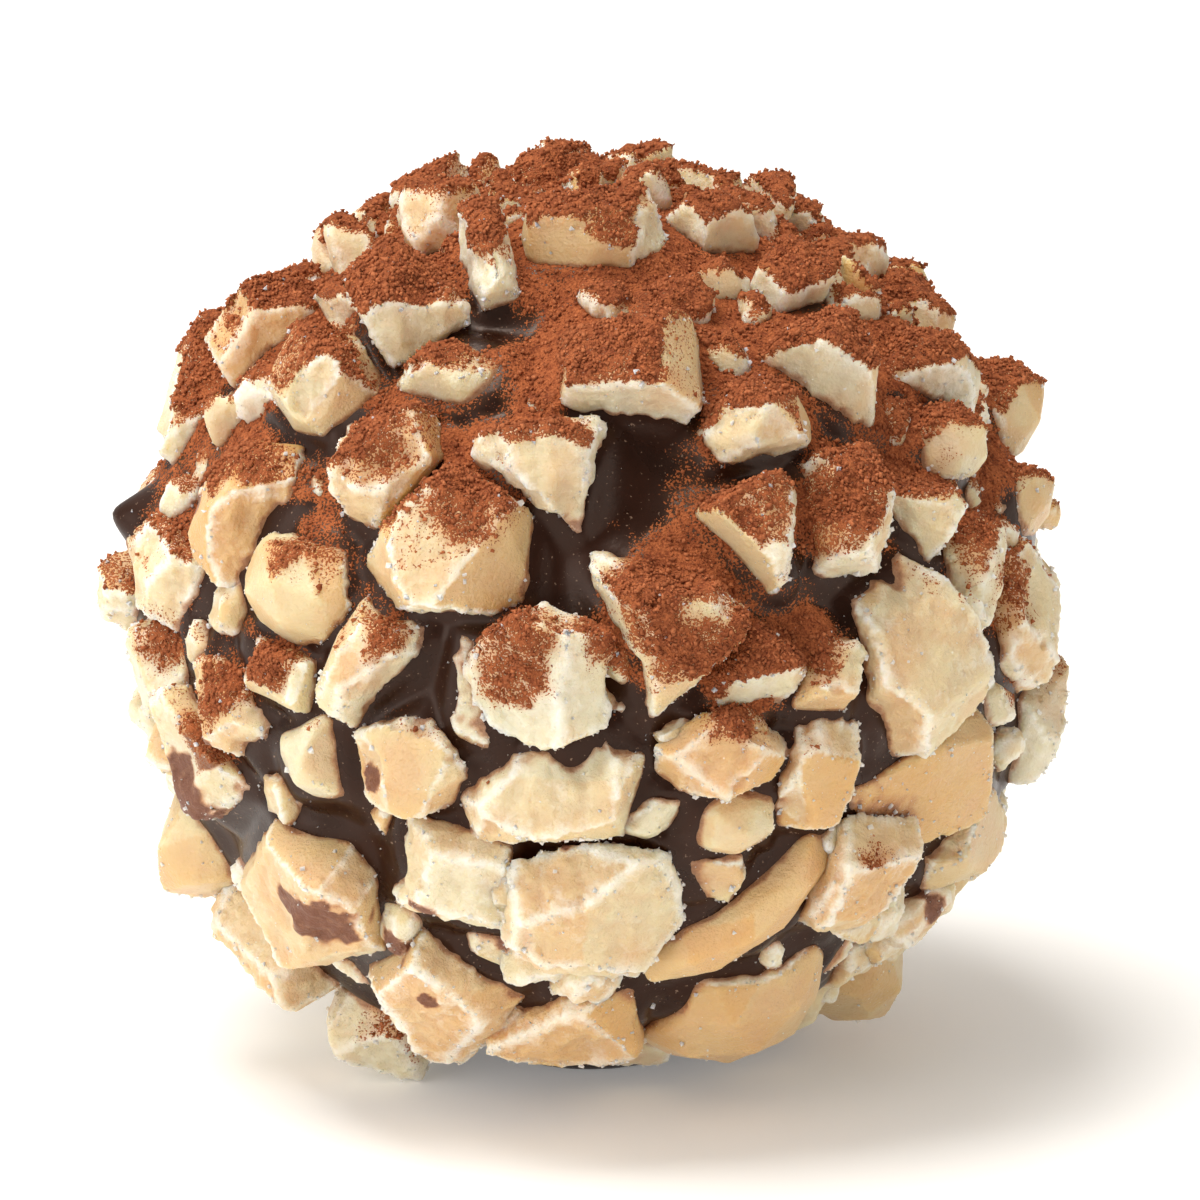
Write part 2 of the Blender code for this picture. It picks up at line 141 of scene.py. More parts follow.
def knocked(shape, count, chance):
    """Knocks corners off the outer side of a piece, each along a flat break."""
    out = sum((v.co for v in shape.verts), Vector()).normalized()
    side = out.orthogonal().normalized()
    for _ in range(count):
        turn = Matrix.Rotation(chance.uniform(0, math.tau), 3, out)
        lean = math.radians(chance.uniform(*CHIP_LEAN))
        way = out * math.cos(lean) + (turn @ side) * math.sin(lean)
        along = [v.co.dot(way) for v in shape.verts]
        thick = min(1.0, (max(along) - min(along)) / FULL_THICKNESS)
        reach = max(along) - chance.uniform(*CHIP_DEPTH) * thick
        bmesh.ops.bisect_plane(shape, geom=shape.verts[:] + shape.edges[:] + shape.faces[:],
                               plane_co=way * reach, plane_no=way, clear_outer=True)
        bmesh.ops.holes_fill(shape, edges=[e for e in shape.edges if e.is_boundary], sides=0)
    bmesh.ops.recalc_face_normals(shape, faces=shape.faces)


class Solids:
    """Plain closed solids, in millimetres round the ball's middle, with what each face is."""

    def __init__(self):
        self.points, self.faces, self.tint, self.broken, self.borders = [], [], [], [], []
        self.owner, self.scoops = [], []

    def take(self, mesh, move, tint, kernel, chance):
        shape = bmesh.new()
        shape.from_mesh(mesh)
        shape.transform(move)
        bmesh.ops.remove_doubles(shape, verts=shape.verts, dist=SMALLEST_STEP)
        bmesh.ops.dissolve_limit(shape, angle_limit=SAME_FACE, verts=shape.verts,
                                 edges=shape.edges)
        middle = sum((v.co for v in shape.verts), Vector()) / len(shape.verts)
        out = middle.normalized()
        end_spread = TOP_SPREAD if out.z > 0 else LOW_SPREAD
        spread = SIDE_SPREAD + (end_spread - SIDE_SPREAD) * min(1.0, abs(out.z) * 1.3)
        for v in shape.verts:
            rise = out * out.dot(v.co - middle)
            v.co = middle + rise + (v.co - middle - rise) * spread
        knocked(shape, 1 if kernel else chance.randint(3, 5), chance)
        shape.faces.index_update()
        shape.verts.index_update()
        number = surfaces(shape)
        skins = {n: chance.random() < 0.25 for n in sorted(set(number.values()))}
        if kernel:
            counts = [list(number.values()).count(n) for n in skins]
            skins[counts.index(max(counts))] = True
        first = len(self.points)
        self.points += [v.co.copy() for v in shape.verts]
        hollows = []
        for face in shape.faces:
            self.faces.append([first + v.index for v in face.verts])
            self.tint.append(tint + chance.uniform(-0.18, 0.18))
            self.broken.append(0.0 if skins[number[face]] else chance.uniform(0.55, 1.0))
            self.owner.append(len(self.scoops))
            if face.normal.dot(out) > 0.2 and not skins[number[face]]:
                corner = face.verts[chance.randrange(len(face.verts))].co
                middle = face.calc_center_median().lerp(corner, chance.uniform(0.2, 0.7))
                radius = chance.uniform(*SCOOP_RADIUS)
                depth = chance.uniform(*SCOOP_DEPTH)
                hollows.append((np.array(middle + face.normal * (radius - depth)), radius))
        chance.shuffle(hollows)
        middle = sum((v.co for v in shape.verts), Vector()) / len(shape.verts)
        edge_spots = []
        for edge in shape.edges:
            if len({number[f] for f in edge.link_faces}) > 1:
                a, b = [v.co for v in edge.verts]
                steps = max(1, round((b - a).length / BORDER_STEP))
                edge_spots += [a.lerp(b, (s + 0.5) / steps) for s in range(steps)]
        self.borders += edge_spots
        bites = []
        for spot in chance.sample(edge_spots, min(BITES, len(edge_spots))):
            radius = chance.uniform(*BITE_RADIUS)
            away = (spot - middle).normalized()
            if away.dot(out) > 0 and not kernel:
                bites.append((np.array(spot + away * (radius - chance.uniform(*BITE_DEPTH))), radius))
        self.scoops.append(hollows[:2] + bites)
        shape.free()

    def tree(self):
        return BVHTree.FromPolygons(self.points, self.faces)


def mesh_object(name, points, faces):
    mesh = bpy.data.meshes.new(name)
    mesh.from_pydata(points, [], faces)
    piece = bpy.data.objects.new(name, mesh)
    bpy.context.scene.collection.objects.link(piece)
    return piece


def applied(piece, kind, **settings):
    """Gives a piece one modifier and applies it."""
    modifier = piece.modifiers.new(kind.lower(), kind)
    for name, value in settings.items():
        setattr(modifier, name, value)
    bpy.ops.object.select_all(action="DESELECT")
    piece.select_set(True)
    bpy.context.view_layer.objects.active = piece
    bpy.ops.object.modifier_apply(modifier=modifier.name)


def places(piece):
    """The points of a piece and the way that each one faces."""
    points = np.empty(len(piece.data.vertices) * 3, np.float32)
    piece.data.vertices.foreach_get("co", points)
    facing = np.empty(len(points), np.float32)
    piece.data.vertex_normals.foreach_get("vector", facing)
    return points.reshape(-1, 3).astype(float), facing.reshape(-1, 3).astype(float)


def put(piece, points):
    """Moves the points of a piece, and keeps them above the table."""
    points[:, 2] = np.maximum(points[:, 2], table_level)
    piece.data.vertices.foreach_set("co", points.astype(np.float32).ravel())
    piece.data.update()


def mark(piece, name, values):
    """Writes one number for each point, for the materials to read."""
    piece.data.attributes.new(name, "FLOAT", "POINT")
    piece.data.attributes[name].data.foreach_set("value", values.astype(np.float32))


def weathered(name, solids, grain, seed):
    """Turns plain solids into one piece with the broken, crumbly surface of chopped nut."""
    piece = mesh_object(name, solids.points, solids.faces)
    applied(piece, "REMESH", mode="VOXEL", voxel_size=grain)
    points, facing = places(piece)
    tree = solids.tree()
    found = [tree.find_nearest(p) for p in points]
    nearest = np.array([hit[2] for hit in found])
    plain_up = np.array([hit[1].z for hit in found])
    owner = np.array(solids.owner)[nearest]
    for number, hollows in enumerate(solids.scoops):
        mine = np.nonzero(owner == number)[0]
        for middle, radius in hollows:
            away = points[mine] - middle
            far = np.linalg.norm(away, axis=1)
            inside = far < radius
            points[mine[inside]] = middle + away[inside] * (radius / far[inside])[:, None]
    put(piece, points)
    points, facing = places(piece)
    edges = KDTree(len(solids.borders))
    for number, spot in enumerate(solids.borders):
        edges.insert(spot, number)
    edges.balance()
    broken = np.array(solids.broken)[nearest]
    tint = np.array(solids.tint)[nearest]
    worn = np.exp(-np.array([edges.find(p)[2] for p in points]) / WORN_WIDTH)
    wide = lumps(points, 1.7, seed)
    mid = lumps(points, 0.6, seed + 1)
    grit = lumps(points, 0.24, seed + 2)
    creases = 0.5 - np.abs(lumps(points * (1, 1, 0.55), 0.8, seed + 3)) * 2
    out = PUFFED_OUT + 0.07 * wide + (0.03 + 0.04 * broken) * mid
    out += (0.01 + 0.07 * broken + 0.05 * worn) * grit + 0.12 * broken * creases
    out -= worn * ramp(mid + 0.5 * wide, 0.1, 0.5) * 0.1
    put(piece, points + facing * out[:, None])
    mark(piece, "tint", tint + 0.15 * wide)
    mark(piece, "broken", broken)
    mark(piece, "worn", worn)
    mark(piece, "plain_up", plain_up)
    return piece


chance = random.Random(7)
large = Solids()
groups = {"round_nuts": Solids(), "broken_nuts_front": Solids(), "broken_nuts_low": Solids()}
members = {name: [] for name in groups}
for node in sorted(n for n in frame["nodes"] if n.startswith("nut_")):
    number = int(node.split("_")[1])
    kernel = number in KERNELS
    tint = TINTS_AND_SHADE.get(number, chance.uniform(0.15, 0.7))
    low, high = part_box(node)
    upper = (low.z + high.z) / 2 > heart.z
    name = "round_nuts" if kernel else "broken_nuts_front" if upper else "broken_nuts_low"
    groups[name].take(frame["nodes"][node].data, into_mm, tint, kernel, random.Random(number))
    large.take(frame["nodes"][node].data, into_mm, tint, kernel, random.Random(number))
    members[name].append(node)

nuts = []
for seed, (name, solids) in enumerate(groups.items()):
    piece = weathered(name, solids, LARGE_GRAIN, seed + 1)
    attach(piece, "root")
    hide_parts(*members[name])
    nuts.append(piece)

# ------------------------------------------------------------------- small pieces of chopped nut
# The finer part of the same chopped nuts, which fills in between the large pieces and covers the
# back. The frame has them raised from the ball, so here the ball is cut away from a copy of it.

SMALL_GRAIN = 0.155
BARE_RADIUS = 12.72
LEAST_VOLUME = 0.15
PEAK_WAY = Vector((-0.961, -0.135, 0.242))
FOOT_WAY = Vector((0, 0, -1))

bpy.ops.object.select_all(action="DESELECT")
bpy.ops.mesh.primitive_ico_sphere_add(subdivisions=5, radius=BARE_RADIUS, location=(0, 0, 0))
plain_ball = bpy.context.object
ball_copy = bpy.data.objects.new("small_nuts", frame["nodes"]["coated_ball"].data.copy())
bpy.context.scene.collection.objects.link(ball_copy)
cleaned = bmesh.new()
cleaned.from_mesh(ball_copy.data)
cleaned.transform(into_mm)
bmesh.ops.remove_doubles(cleaned, verts=cleaned.verts, dist=SMALLEST_STEP)
cleaned.to_mesh(ball_copy.data)
cleaned.free()
applied(ball_copy, "BOOLEAN", operation="DIFFERENCE", solver="EXACT", object=plain_ball)
bpy.data.objects.remove(plain_ball)
bpy.ops.object.select_all(action="DESELECT")
ball_copy.select_set(True)
bpy.context.view_layer.objects.active = ball_copy
bpy.ops.mesh.separate(type="LOOSE")

small = {"small_nuts_front": Solids(), "small_nuts_back": Solids(), "small_nuts_low": Solids()}
all_small = Solids()
for scrap in sorted(bpy.context.selected_objects, key=lambda o: o.name):
    middle = sum((v.co for v in scrap.data.vertices), Vector()) / len(scrap.data.vertices)
    measured = bmesh.new()
    measured.from_mesh(scrap.data)
    volume = abs(measured.calc_volume())
    measured.free()
    way = middle.normalized()
    plain = way.dot(PEAK_WAY) > 0.995 or way.dot(FOOT_WAY) > 0.98
    if volume > LEAST_VOLUME and not plain:
        name = "small_nuts_front" if middle.y < 0 else "small_nuts_back"
        name = "small_nuts_low" if middle.z < -5 else name
        tint = chance.uniform(0.1, 0.75)
        number = chance.randrange(1000)
        kernel = chance.random() < 0.4
        small[name].take(scrap.data, Matrix(), tint, kernel, random.Random(number))
        all_small.take(scrap.data, Matrix(), tint, kernel, random.Random(number))
    bpy.data.objects.remove(scrap)

for seed, (name, solids) in enumerate(small.items()):
    piece = weathered(name, solids, SMALL_GRAIN, seed + 11)
    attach(piece, "root")
    nuts.append(piece)

# ------------------------------------------------------------------- splinters of nut
# The finest part of the chopped nuts: thin broken splinters that stuck in the chocolate wherever
# the larger pieces left room, at every angle. One block is cut, and each copy is broken anew.

SPLINTER_GRAIN = 0.15
SPLINTER_TRIES = 3400
SPLINTER_LENGTH = (1.3, 2.7)
SPLINTER_WIDTH = (0.45, 0.75)
SPLINTER_ROOM = 0.32
SPLINTER_APART = 1.25
LOW_ROOM = 0.3
LOW_APART = 1.35
SPLINTER_RISE = (12.9, 13.4)
LOW_RISE = (13.0, 13.5)
LOW_LENGTH = (1.6, 2.9)
SPLINTER_LEAN = 38

# Places that stayed bare of splinters: degrees round and up, and radius in millimetres
BARE_SPOTS = [(4, 31, 3.2), (-1, 21, 2.6), (-21, 54, 2.2), (-18, 10, 2.4), (22, 16, 2.0),
              (-19, 43, 1.6), (-62, -20, 2.0), (35, 34, 1.4)]


def toward(round_degrees, up_degrees):
    """The way out of the ball at a place given in degrees."""
    turn, lift = math.radians(round_degrees), math.radians(up_degrees)
    return Vector((math.sin(turn) * math.cos(lift), -math.cos(turn) * math.cos(lift),
                   math.sin(lift)))


bpy.ops.object.select_all(action="DESELECT")
bpy.ops.mesh.primitive_cube_add(size=1, location=(0, 0, 0))
block = bpy.context.object
bpy.ops.object.mode_set(mode="EDIT")
bpy.ops.mesh.select_all(action="SELECT")
bpy.ops.mesh.bevel(offset=0.16, segments=1, affect="EDGES")
bpy.ops.object.mode_set(mode="OBJECT")

large_tree = large.tree()
small_tree = all_small.tree()
splinters = {"splinters_upper": Solids(), "splinters_lower": Solids()}
all_splinters = Solids()
taken = []
for _ in range(SPLINTER_TRIES):
    way = Vector([chance.gauss(0, 1) for _ in range(3)]).normalized()
    spot = way * 13.1
    room = min(large_tree.find_nearest(spot)[3], small_tree.find_nearest(spot)[3])
    upper = spot.z > -1.5
    least_room, apart = (SPLINTER_ROOM, SPLINTER_APART) if upper else (LOW_ROOM, LOW_APART)
    crowded = any((spot - other).length < apart for other in taken)
    bare = any((toward(a, b) * 13.1 - spot).length < radius for a, b, radius in BARE_SPOTS)
    if room < least_room or crowded or bare or spot.z < -11.5:
        continue
    taken.append(spot)
    length = chance.uniform(*(SPLINTER_LENGTH if upper else LOW_LENGTH))
    length *= min(1.0, 0.55 + room * 0.5)
    width = length * chance.uniform(*SPLINTER_WIDTH)
    turn = Matrix.Rotation(chance.uniform(0, math.tau), 4, "Z")
    lean = Matrix.Rotation(math.radians(chance.uniform(-SPLINTER_LEAN, SPLINTER_LEAN)), 4, "X")
    stand = way.to_track_quat("Z", "Y").to_matrix().to_4x4()
    size = Matrix.Diagonal((length, width, length * chance.uniform(0.6, 0.9), 1))
    rise = chance.uniform(*(SPLINTER_RISE if upper else LOW_RISE))
    move = Matrix.Translation(way * rise) @ stand @ turn @ lean @ size
    name = "splinters_upper" if upper else "splinters_lower"
    tint, number = chance.uniform(0.0, 0.6), chance.randrange(1000)
    splinters[name].take(block.data, move, tint, False, random.Random(number))
    all_splinters.take(block.data, move, tint, False, random.Random(number))
bpy.data.objects.remove(block)

for seed, (name, solids) in enumerate(splinters.items()):
    piece = weathered(name, solids, SPLINTER_GRAIN, seed + 21)
    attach(piece, "root")
    nuts.append(piece)

# ------------------------------------------------------------------- chocolate coat
# Dark chocolate, dipped and left to set with the nuts in it: a smooth satin skin in slow waves
# that climbs the foot of every nut, with the peak it drew out into on the left and a flat foot.

COAT_RADIUS = 12.93
COAT_CUTS = 7
CLIMB = 0.72
CLIMB_WIDTH = 0.55
PEAK_REACH = 15.1
PEAK_WIDTH = 1.15
FOOT_RADIUS = 2.6
FOOT_EDGE = 1.3

bpy.ops.object.select_all(action="DESELECT")
bpy.ops.mesh.primitive_cube_add(size=2, location=(0, 0, 0))
coat = bpy.context.object
coat.name = coat.data.name = "chocolate_coat"
bpy.ops.object.mode_set(mode="EDIT")
bpy.ops.mesh.select_all(action="SELECT")
for _ in range(COAT_CUTS):
    bpy.ops.mesh.subdivide(number_cuts=1)
bpy.ops.object.mode_set(mode="OBJECT")
ways, _ = places(coat)
ways = ways * np.sqrt(1 - ways[:, [1, 2, 0]] ** 2 / 2 - ways[:, [2, 0, 1]] ** 2 / 2
                      + ways[:, [1, 2, 0]] ** 2 * ways[:, [2, 0, 1]] ** 2 / 3)
ways /= np.linalg.norm(ways, axis=1)[:, None]

splinter_tree = all_splinters.tree()
skin = ways * COAT_RADIUS
to_large = np.array([large_tree.find_nearest(p)[3] for p in skin])
to_small = np.array([min(small_tree.find_nearest(p)[3], splinter_tree.find_nearest(p)[3])
                     for p in skin])
height = COAT_RADIUS + 0.2 * lumps(skin, 3.6, 31) + 0.06 * lumps(skin, 1.5, 32)
height += CLIMB * (np.exp(-to_large / CLIMB_WIDTH) + 0.35 * np.exp(-to_small / CLIMB_WIDTH))
from_peak = np.linalg.norm(ways - np.array(PEAK_WAY), axis=1) * COAT_RADIUS
height += (PEAK_REACH - height) * np.exp(-(from_peak / PEAK_WIDTH) ** 1.5)
points = ways * height[:, None]
from_axis = np.hypot(points[:, 0], points[:, 1])
in_foot = (1 - ramp(from_axis, FOOT_RADIUS, FOOT_RADIUS + FOOT_EDGE)) * (points[:, 2] < 0)
points[:, 2] += (table_level - points[:, 2]) * in_foot
put(coat, points)
applied(coat, "SMOOTH", factor=0.5, iterations=5)
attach(coat, "root")
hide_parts("coated_ball")

# Chocolate on the nuts: the film that it left along their feet, and drops and smears from
# rolling. Degrees round and up, and radius in millimetres
STAINS = [(-37, -27, 1.2), (-42, -25, 0.6), (-22, -24, 0.5), (-29, -32, 0.55), (-25, -39, 0.4),
          (-31, -8, 0.35), (-27, -7, 0.45), (-64, 19, 0.9), (-59, 21, 0.5), (-62, -16, 1.6),
          (-55, -8, 0.8), (-13, -32, 0.3), (-70, -12, 0.9), (60, -33, 0.5), (-3, -14, 0.25),
          (120, -20, 1.0), (165, 5, 0.8), (-140, -8, 1.1), (-110, -30, 0.9), (95, -5, 0.6),
          (140, 25, 0.7), (-165, -35, 1.2), (75, -40, 0.8)]
FILM = (0.03, 0.2)

coat_points, _ = places(coat)
coat_tree = BVHTree.FromPolygons([Vector(p) for p in coat_points],
                                 [face.vertices[:] for face in coat.data.polygons])
for piece in nuts:
    points, _ = places(piece)
    found = [coat_tree.find_nearest(Vector(p), 0.5)[3] for p in points]
    above = np.array([0.5 if gap is None else gap for gap in found])
    rough = lumps(points, 0.5, 51)
    stain = 0.8 * (1 - ramp(above + 0.12 * rough, *FILM))
    out = points / np.linalg.norm(points, axis=1)[:, None]
    for round_degrees, up_degrees, radius in STAINS:
        off = np.linalg.norm(out - np.array(toward(round_degrees, up_degrees)), axis=1) * 14
        stain = np.maximum(stain, 1 - ramp(off + 0.3 * radius * rough, radius * 0.8, radius))
    mark(piece, "stain", stain)

# ------------------------------------------------------------------- cocoa powder
# Unsweetened cocoa, sieved over the truffle from above: a matte, clumpy red-brown powder that
# covers the top, lies on whatever faces up lower down, and leaves a speckled edge on the nuts.

DUST_FALL = (Vector((-0.06, 0.05, 1.0)), Vector((0.35, 0.1, 1.0)), Vector((-0.4, 0.1, 1.0)),
             Vector((0.0, 0.45, 1.0)), Vector((0.0, -0.35, 1.0)))
SHADE_START = 0.3
PLAIN_SHARE = 0.7
STICKY = -0.25
CORE_RADIUS = 12.8

# Places that got more or less of it: degrees round and up, radius in millimetres, and how much
PUFFS = [(6, 15, 2.0, 1.1), (10, 9, 1.2, 1.0), (-10, 9, 1.6, 1.5), (19, 5, 1.5, 1.6),
         (17, 9, 1.4, 1.4), (38, -21, 1.0, 0.75), (-24, 11, 1.1, 0.9), (-51, 0, 1.1, 0.8),
         (-42, 5, 1.0, 1.0), (-56, -8, 1.0, 0.8), (-46, -58, 1.4, 0.6), (15, 22, 1.6, 0.9),
         (34, 25, 1.4, 0.8), (58, 22, 1.3, 0.7), (63, 10, 1.6, 0.6), (26, 11, 1.5, 1.0),
         (-5, 46, 1.6, 0.9), (22, 17, 0.9, 0.7), (-16, -26, 0.5, 0.6), (4, -26, 1.0, 0.4),
         (48, 30, 1.4, 0.7), (-66, 3, 1.2, 0.8), (-80, 10, 1.4, 0.7), (72, 22, 1.2, 0.6),
         (-15, 27, 1.4, 0.6), (-30, 33, 1.2, 0.6), (44, 11, 1.9, -0.5), (68, -4, 0.9, 0.6),
         (-83, 14, 1.3, -1.2), (4, 31, 2.0, -0.8), (-1, 21, 2.0, -1.0), (-21, 54, 1.5, -1.0), (-18, 10, 1.9, -1.0),
         (-50, 19, 2.0, -0.9), (-38, 33, 1.2, -0.8), (-19, 43, 1.5, -0.8), (0, 41, 1.5, -0.4)]

roof = BVHTree.FromPolygons(
    large.points + all_small.points,
    large.faces + [[len(large.points) + i for i in face] for face in all_small.faces])


def open_sky(points, facing, wanted):
    """How much of the falling dust reaches each point, from 0 to 1."""
    seen = np.zeros(len(points))
    for at in np.nonzero(wanted)[0]:
        start = Vector(points[at] + facing[at] * SHADE_START)
        for fall in DUST_FALL:
            way = fall.normalized()
            along = -start.dot(way)
            blocked = along > 0 and (start + way * along).length < CORE_RADIUS
            if not blocked and roof.ray_cast(start, way)[0] is None:
                seen[at] += 1 / len(DUST_FALL)
    return seen


def dusting(points, facing, up, bare):
    """How much cocoa lies at each point, from 0 to 1; bare is how slippery the surface is."""
    height = points[:, 2]
    wanted = (facing[:, 2] > 0) & (height > -7)
    sky = open_sky(points, facing, wanted)
    plenty = ramp(height, -5.0, 11.0)
    lean = ramp(up, 0.42 - 0.1 * plenty + bare, 0.85 - 0.18 * plenty + bare)
    amount = lean * sky * (0.12 + 0.95 * plenty)
    amount += (0.4 - 0.25 * plenty) * lumps(points, 1.9, 41) * ramp(amount, 0.0, 0.3)
    ragged = 0.45 * lumps(points, 0.8, 42)
    for round_degrees, up_degrees, radius, strength in PUFFS:
        spot = np.array(toward(round_degrees, up_degrees)) * np.linalg.norm(points, axis=1)[:, None]
        off = np.linalg.norm(points - spot, axis=1) + radius * ragged
        near = 1 - ramp(off, radius * 0.35, radius * 1.2)
        amount += near * strength * ramp(up, -0.4, 0.2)
    return np.clip(amount, 0.0, 1.0)


for piece in nuts + [coat]:
    points, facing = places(piece)
    up = facing[:, 2].copy()
    if piece != coat:
        plain_up = np.empty(len(points), np.float32)
        piece.data.attributes["plain_up"].data.foreach_get("value", plain_up)
        up = PLAIN_SHARE * plain_up + (1 - PLAIN_SHARE) * up
    cocoa = dusting(points, facing, up, STICKY if piece == coat else 0.0)
    clumps = 0.5 + 0.8 * lumps(points, 0.55, 43) + 0.5 * lumps(points, 0.28, 44)
    thick = ramp(cocoa, 0.3, 0.9) * (0.05 + 0.08 * np.clip(clumps, 0, 1.4))
    put(piece, points + facing * thick[:, None])
    mark(piece, "cocoa", cocoa)


def dusted(tree, place, colour, roughness, weight):
    """Lays cocoa over a finish: gives back its colour, roughness, how much shows, and height."""
    amount = add(tree, "ShaderNodeAttribute", attribute_name="cocoa").outputs["Fac"]
    clump = add(tree, "ShaderNodeTexNoise", {"Vector": place, "Scale": 1 / (0.42 * MM),
                                             "Detail": 3.0, "Roughness": 0.65}).outputs["Fac"]
    speck = add(tree, "ShaderNodeTexNoise", {"Vector": place, "Scale": 1 / (0.075 * MM),
                                             "Detail": 1.0, "Roughness": 0.6}).outputs["Fac"]
    both = add(tree, "ShaderNodeMath", {0: clump, 1: speck}, operation="ADD").outputs[0]
    stipple = add(tree, "ShaderNodeMath", {0: clump, 1: 0.25, 2: speck}, operation="MULTIPLY_ADD")
    spread = add(tree, "ShaderNodeMapRange", {"Value": stipple.outputs[0], "From Min": 0.4,
                                              "From Max": 0.85, "To Min": -0.55,
                                              "To Max": 0.55}).outputs[0]
    level = add(tree, "ShaderNodeMath", {0: amount, 1: spread}, operation="ADD").outputs[0]
    shows = add(tree, "ShaderNodeMapRange", {"Value": level, "From Min": 0.38, "From Max": 0.50},
                interpolation_type="SMOOTHSTEP").outputs[0]
    any_at_all = add(tree, "ShaderNodeMapRange", {"Value": amount, "From Min": 0.015,
                                                  "From Max": 0.1}).outputs[0]
    shows = add(tree, "ShaderNodeMath", {0: shows, 1: any_at_all}, operation="MULTIPLY").outputs[0]
    tone = add(tree, "ShaderNodeMapRange", {"Value": both, "From Min": 0.8, "From Max": 1.25})
    powder = add(tree, "ShaderNodeMix", {0: tone.outputs[0], 6: linear("7C4028"),
                                         7: linear("B2673F")}, data_type="RGBA").outputs[2]
    tinge = add(tree, "ShaderNodeMapRange", {"Value": amount, "From Min": 0.07, "From Max": 0.5,
                                             "To Max": weight}).outputs[0]
    hazed = add(tree, "ShaderNodeMix", {0: tinge, 6: colour, 7: linear("D2935A")},
                data_type="RGBA").outputs[2]
    mixed = add(tree, "ShaderNodeMix", {0: shows, 6: hazed, 7: powder}, data_type="RGBA")
    rough = add(tree, "ShaderNodeMix", {0: shows, 2: roughness, 3: 0.95})
    return mixed.outputs[2], rough.outputs[0], shows, both


# Blanched nut: an oily, slightly see-through kernel. The outside is waxy and smooth; a broken
# face scatters more light, so it is whiter and dull, and its edges carry chalky dust.
nut_finish = bpy.data.materials.new("blanched_nut")
nut_finish.use_nodes = True
tree = nut_finish.node_tree
surface = tree.nodes["Principled BSDF"]
place = add(tree, "ShaderNodeTexCoord").outputs["Object"]
tint = add(tree, "ShaderNodeAttribute", attribute_name="tint").outputs["Fac"]
broken = add(tree, "ShaderNodeAttribute", attribute_name="broken").outputs["Fac"]
worn = add(tree, "ShaderNodeAttribute", attribute_name="worn").outputs["Fac"]
cloud = add(tree, "ShaderNodeTexNoise", {"Vector": place, "Scale": 1 / (1.9 * MM),
                                         "Detail": 3.0}).outputs["Fac"]
grain = add(tree, "ShaderNodeTexNoise", {"Vector": place, "Scale": 1 / (0.28 * MM),
                                         "Detail": 4.0, "Roughness": 0.7}).outputs["Fac"]
fine = add(tree, "ShaderNodeTexNoise", {"Vector": place, "Scale": 1 / (0.1 * MM),
                                        "Detail": 2.0}).outputs["Fac"]
# The tint is each piece's own tone, and for pieces 50 and 55 also painted shade.
kinds = add(tree, "ShaderNodeValToRGB", {"Fac": tint})
for at, code in ((0.0, "E3DCC4"), (0.3, "E1D2AA"), (0.55, "DDBE8C"), (0.85, "D8A35C")):
    stop = kinds.color_ramp.elements.new(at)
    stop.color = linear(code)
kinds.color_ramp.elements.remove(kinds.color_ramp.elements[0])
kinds.color_ramp.elements.remove(kinds.color_ramp.elements[-1])
flesh = add(tree, "ShaderNodeMix", {0: broken, 6: linear("DAC99E"), 7: linear("E5DDC6")},
            data_type="RGBA").outputs[2]
flesh = add(tree, "ShaderNodeMix", {0: 0.75, 6: flesh, 7: kinds.outputs["Color"]},
            data_type="RGBA").outputs[2]
oily = add(tree, "ShaderNodeMapRange", {"Value": cloud, "From Min": 0.46, "From Max": 0.66,
                                        "To Max": 0.7}).outputs[0]
flesh = add(tree, "ShaderNodeMix", {0: oily, 6: flesh, 7: linear("DAB284")},
            data_type="RGBA").outputs[2]
mottle = add(tree, "ShaderNodeMapRange", {"Value": grain, "From Min": 0.45, "From Max": 0.72,
                                          "To Max": 0.15}).outputs[0]
flesh = add(tree, "ShaderNodeMix", {0: mottle, 6: flesh, 7: linear("CFB08A")},
            data_type="RGBA").outputs[2]
patch = add(tree, "ShaderNodeTexNoise", {"Vector": place, "Scale": 1 / (0.9 * MM),
                                         "Detail": 4.0, "Roughness": 0.65}).outputs["Fac"]
chalk = add(tree, "ShaderNodeMath", {0: worn, 1: 0.62, 2: patch}, operation="MULTIPLY_ADD")
chalk = add(tree, "ShaderNodeMath", {0: fine, 1: 0.3, 2: chalk.outputs[0]},
            operation="MULTIPLY_ADD").outputs[0]
chalk = add(tree, "ShaderNodeMapRange", {"Value": chalk, "From Min": 0.72, "From Max": 1.05,
                                         "To Max": 0.85})
chalk = add(tree, "ShaderNodeMath", {0: chalk.outputs[0], 1: broken},
            operation="MULTIPLY").outputs[0]
flesh = add(tree, "ShaderNodeMix", {0: chalk, 6: flesh, 7: linear("F6F1E5")},
            data_type="RGBA").outputs[2]
dots = add(tree, "ShaderNodeTexVoronoi", {"Vector": place, "Scale": 1 / (0.42 * MM)})
dot_size = add(tree, "ShaderNodeSeparateColor", {0: dots.outputs["Color"]}).outputs[0]
dot_size = add(tree, "ShaderNodeMapRange", {"Value": dot_size, "From Min": 0.55, "To Max": 0.13})
flour = add(tree, "ShaderNodeMath", {0: dot_size.outputs[0], 1: dots.outputs["Distance"]},
            operation="SUBTRACT").outputs[0]
flour = add(tree, "ShaderNodeMapRange", {"Value": flour, "From Max": 0.08, "To Max": 0.7})
flesh = add(tree, "ShaderNodeMix", {0: flour.outputs[0], 6: flesh, 7: linear("FDFAF3")},
            data_type="RGBA").outputs[2]
stain = add(tree, "ShaderNodeAttribute", attribute_name="stain").outputs["Fac"]
stain = add(tree, "ShaderNodeMath", {0: grain, 1: 0.5, 2: stain}, operation="MULTIPLY_ADD")
soak = add(tree, "ShaderNodeMapRange", {"Value": stain.outputs[0], "From Min": 0.35,
                                        "From Max": 0.95, "To Max": 0.75}).outputs[0]
